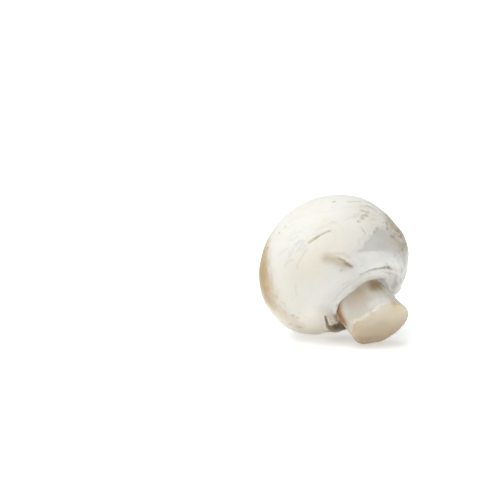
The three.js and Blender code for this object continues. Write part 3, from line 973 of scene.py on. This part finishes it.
# Swellings and grain of the cap, fibres of the stem, and the rough flesh and rim of the cut
height += 0.1 * noise_at(skin.place, 7, 3) * on_cap_share
height += 0.03 * noise_at(skin.place, 2.2, 4) * on_cap_share
height += 0.03 * noise_at(rings, 0.9, 8) * on_cap_share
height += 0.06 * noise_at(fibre, 0.9, 5) * stem_share
height += (0.16 * noise_at(skin.place, 3.4, 9) + 0.05 * noise_at(skin.place, 1.1, 6)) * on_cut
height += 0.12 * np.maximum(noise_at(skin.place, 0.9, 7), -0.2) * span_lobe(11, 0.8)

# The marks and the grain raise and lower the skin. Nothing stands out past the part's own box.
skin.place = skin.place + height[..., None] * skin.normal
low, high = (np.array(corner) / MM for corner in cad_box)
place = np.clip(skin.place, low, high)

mesh = grid_mesh("mushroom_skin", place)
shares = {"stem": stem_share, "cut": cut_share, "cut_shade_and_browning": cut_shade_and_browning, "veil": veil_share}
for name, values in {**tones, **shares, "fibre": fibre, "rings": rings}.items():
    grid_attribute(mesh, name, values)
mushroom = bpy.data.objects.new("mushroom_skin", mesh)
bpy.context.scene.collection.objects.link(mushroom)
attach(mushroom, "root")
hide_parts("mushroom")

# Material =========================================================================


def colour(red, green, blue):
    """A colour given as on a screen, 0 to 255, in linear light."""
    share = np.array([red, green, blue]) / 255
    linear = np.where(share <= 0.04045, share / 12.92, ((share + 0.055) / 1.055) ** 2.4)
    return (*linear.tolist(), 1.0)


WHITE = colour(231, 230, 223)
CREAM = colour(233, 227, 212)
STEM_COLOUR = colour(201, 197, 183)
CUT_COLOUR = colour(209, 199, 177)
# Painted shade of the cut's downward side, with its flesh a little browner.
CUT_SHADED_BROWN_COLOUR = colour(191, 174, 147)
VEIL_COLOUR = colour(207, 205, 198)
TONE_COLOURS = {
    "light": colour(236, 231, 219),
    "cream": colour(224, 214, 191),
    "tan": colour(178, 156, 120),
    "brown": colour(142, 120, 90),
    "grey": colour(190, 188, 184),
    "pink": colour(205, 190, 180),
    "rust": colour(142, 90, 8),
    "yellow": colour(214, 190, 128),
    "pale": colour(231, 231, 226),
    "dark": colour(78, 66, 54),
}
BROKEN_TONES = ("brown", "dark")  # these stains are mottled

# How strong the skin's small patches and marks are
CREAM_PATCHES = 0.6
CREAM_SPECKS = 0.14
PINK_STREAKS = 0.2
GREY_TEARS = 0.14

ROUGHNESS_LEAST = 0.5
ROUGHNESS_MOST = 0.72
SPECULAR = 0.35
SUBSURFACE_WEIGHT = 0.15
SUBSURFACE_RADIUS = (1.0, 0.7, 0.45)
SUBSURFACE_DEPTH = 1.4
GRAIN_STRENGTH = 0.35
GRAIN_HEIGHT = 0.12


class Nodes:
    """A short way to add nodes to a material."""

    def __init__(self, material):
        self.tree = material.node_tree
        self.shader = self.tree.nodes["Principled BSDF"]

    def add(self, kind, inputs=(), **settings):
        """A new node with these inputs and settings."""
        node = self.tree.nodes.new(kind)
        for name, value in settings.items():
            setattr(node, name, value)
        for name, value in dict(inputs).items():
            self.put(value, node.inputs[name])
        return node

    def put(self, value, socket):
        """Links another node's output to a socket, or sets the socket to a plain value."""
        if isinstance(value, bpy.types.NodeSocket):
            self.tree.links.new(value, socket)
        else:
            socket.default_value = value

    def attribute(self, name, vector=False):
        """One of the numbers or vectors stored on the mesh."""
        node = self.add("ShaderNodeAttribute", attribute_name=name)
        return node.outputs["Vector" if vector else "Fac"]

    def noise(self, vector, scale, detail=3, roughness=0.5):
        """Noise between 0 and 1."""
        inputs = {"Vector": vector, "Scale": scale, "Detail": detail, "Roughness": roughness}
        return self.add("ShaderNodeTexNoise", inputs).outputs["Fac"]

    def between(self, value, low, high):
        """0 where the value is low, 1 where it is high."""
        inputs = {"Value": value, "From Min": low, "From Max": high}
        return self.add("ShaderNodeMapRange", inputs, interpolation_type="SMOOTHSTEP").outputs["Result"]

    def math(self, operation, a, b):
        node = self.add("ShaderNodeMath", operation=operation)
        self.put(a, node.inputs[0])
        self.put(b, node.inputs[1])
        return node.outputs[0]

    def times(self, a, b):
        return self.math("MULTIPLY", a, b)

    def plus(self, a, b):
        return self.math("ADD", a, b)

    def mix(self, share, a, b):
        """Colour a where the share is 0, and b where it is 1."""
        node = self.add("ShaderNodeMix", data_type="RGBA")
        self.put(share, node.inputs[0])
        self.put(a, node.inputs[6])
        self.put(b, node.inputs[7])
        return node.outputs[2]


def flesh_material():
    """The flesh in its own colours, stained with the tones, with a fine grain."""
    material = bpy.data.materials.new("mushroom_flesh")
    material.use_nodes = True
    nodes = Nodes(material)
    metres = nodes.add("ShaderNodeNewGeometry").outputs["Position"]
    place = nodes.add("ShaderNodeVectorMath", {0: metres, "Scale": 1 / MM}, operation="SCALE").outputs[0]
    fibre = nodes.attribute("fibre", vector=True)
    rings = nodes.attribute("rings", vector=True)

    patches = nodes.between(nodes.noise(place, 0.1, 3), 0.4, 0.7)
    base = nodes.mix(nodes.times(patches, CREAM_PATCHES), WHITE, CREAM)
    base = nodes.mix(nodes.attribute("veil"), base, VEIL_COLOUR)
    base = nodes.mix(nodes.attribute("stem"), base, STEM_COLOUR)
    cut = nodes.mix(nodes.attribute("cut_shade_and_browning"), CUT_COLOUR, CUT_SHADED_BROWN_COLOUR)
    base = nodes.mix(nodes.attribute("cut"), base, cut)
    mottle = nodes.noise(place, 0.9, 4, 0.6)
    broken = nodes.between(mottle, 0.24, 0.5)
    for tone, tone_colour in TONE_COLOURS.items():
        share = nodes.attribute(tone)
        if tone in BROKEN_TONES:
            share = nodes.times(share, broken)
        base = nodes.mix(share, base, tone_colour)
    fine = nodes.between(nodes.noise(place, 2.6, 4, 0.6), 0.35, 0.75)
    base = nodes.mix(nodes.times(fine, CREAM_SPECKS), base, TONE_COLOURS["cream"])
    streaks = nodes.noise(fibre, 1.3, 3, 0.6)
    tears = nodes.noise(rings, 1.1, 3, 0.6)
    pink = nodes.times(nodes.between(streaks, 0.58, 0.8), PINK_STREAKS)
    base = nodes.mix(pink, base, TONE_COLOURS["pink"])
    grey = nodes.times(nodes.between(tears, 0.57, 0.75), GREY_TEARS)
    base = nodes.mix(grey, base, TONE_COLOURS["grey"])
    nodes.put(base, nodes.shader.inputs["Base Color"])

    roughness = {"Value": mottle, "To Min": ROUGHNESS_LEAST, "To Max": ROUGHNESS_MOST}
    rough = nodes.add("ShaderNodeMapRange", roughness)
    nodes.put(rough.outputs["Result"], nodes.shader.inputs["Roughness"])
    nodes.shader.inputs["Specular IOR Level"].default_value = SPECULAR
    nodes.shader.inputs["Subsurface Weight"].default_value = SUBSURFACE_WEIGHT
    nodes.shader.inputs["Subsurface Radius"].default_value = SUBSURFACE_RADIUS
    nodes.shader.inputs["Subsurface Scale"].default_value = SUBSURFACE_DEPTH * MM

    bumps = nodes.plus(nodes.noise(place, 3.2, 4, 0.6), nodes.plus(streaks, tears))
    grain = {"Height": bumps, "Strength": GRAIN_STRENGTH, "Distance": GRAIN_HEIGHT * MM}
    nodes.put(nodes.add("ShaderNodeBump", grain).outputs["Normal"], nodes.shader.inputs["Normal"])
    return material


mesh.materials.append(flesh_material())

# Floor, light and camera ==========================================================

# Millimetres, degrees and pixels of the frame
CAMERA_AZIMUTH = 54.6
CAMERA_ELEVATION = 12
CAMERA_DISTANCE = 600
PIXELS_PER_MM = 3.32  # where the middle of the cap is
CAP_MIDDLE_PIXEL = (333.5, 265.8)
FRAME_PIXELS = 500
SENSOR_WIDTH = 36
CLIP_END = 10  # metres

KEY_ENERGY = 2.45
KEY_ANGLE = 60  # degrees across, so that its shadows are soft
KEY_TOWARD = (-0.3, 1.0, 0.12)  # to the camera's right, up, and back to the camera
SKY_COLOUR = (0.96, 0.98, 1, 1)
SKY_STRENGTH = 0.4

PAPER_COLOUR = (0.935, 0.945, 0.965, 1)
PAPER_ROUGHNESS = 0.9
PAPER_HALF = 6  # metres
PAPER_GLOW = 0.34  # lit from below as a light table is, which keeps shadows pale

camera_back = np.array([
    sine(CAMERA_AZIMUTH) * cosine(CAMERA_ELEVATION),
    -cosine(CAMERA_AZIMUTH) * cosine(CAMERA_ELEVATION),
    sine(CAMERA_ELEVATION),
])
camera_right = np.array([cosine(CAMERA_AZIMUTH), sine(CAMERA_AZIMUTH), 0])
camera_up = np.cross(camera_back, camera_right)


def add_camera():
    """A long lens a little above the mushroom, with the cap's middle at its own place in the frame."""
    camera = bpy.data.objects.new("camera", bpy.data.cameras.new("camera"))
    bpy.context.scene.collection.objects.link(camera)
    focal_pixels = PIXELS_PER_MM * CAMERA_DISTANCE
    camera.data.sensor_width = SENSOR_WIDTH
    camera.data.lens = focal_pixels / FRAME_PIXELS * SENSOR_WIDTH
    camera.data.clip_end = CLIP_END
    camera.location = (CAP_MIDDLE + CAMERA_DISTANCE * camera_back) * MM
    right = CAP_MIDDLE_PIXEL[0] - FRAME_PIXELS / 2
    below = CAP_MIDDLE_PIXEL[1] - FRAME_PIXELS / 2
    aim = -focal_pixels * camera_back - right * camera_right + below * camera_up
    camera.rotation_euler = Vector(aim).to_track_quat("-Z", "Y").to_euler()
    bpy.context.scene.camera = camera


def add_lights():
    """A broad light from above on the left, and an even sky."""
    key = bpy.data.objects.new("key", bpy.data.lights.new("key", "SUN"))
    key.data.energy = KEY_ENERGY
    key.data.angle = np.radians(KEY_ANGLE)
    right, up, back = KEY_TOWARD
    toward = right * camera_right + up * np.array([0, 0, 1]) + back * camera_back
    key.rotation_euler = Vector(toward).to_track_quat("Z", "Y").to_euler()
    bpy.context.scene.collection.objects.link(key)
    world = bpy.data.worlds.new("studio")
    world.use_nodes = True
    sky = world.node_tree.nodes["Background"]
    sky.inputs["Color"].default_value = SKY_COLOUR
    sky.inputs["Strength"].default_value = SKY_STRENGTH
    bpy.context.scene.world = world


def add_floor():
    """White paper under the mushroom."""
    mesh = bpy.data.meshes.new("floor")
    corners = [(x * PAPER_HALF, y * PAPER_HALF, 0) for x, y in ((-1, -1), (1, -1), (1, 1), (-1, 1))]
    mesh.from_pydata(corners, [], [(0, 1, 2, 3)])
    floor = bpy.data.objects.new("floor", mesh)
    bpy.context.scene.collection.objects.link(floor)
    paper = bpy.data.materials.new("paper")
    paper.use_nodes = True
    shader = paper.node_tree.nodes["Principled BSDF"]
    shader.inputs["Base Color"].default_value = PAPER_COLOUR
    shader.inputs["Roughness"].default_value = PAPER_ROUGHNESS
    shader.inputs["Emission Color"].default_value = (1, 1, 1, 1)
    shader.inputs["Emission Strength"].default_value = PAPER_GLOW
    mesh.materials.append(paper)


add_camera()
add_lights()
add_floor()
bpy.context.scene.view_settings.view_transform = "Standard"
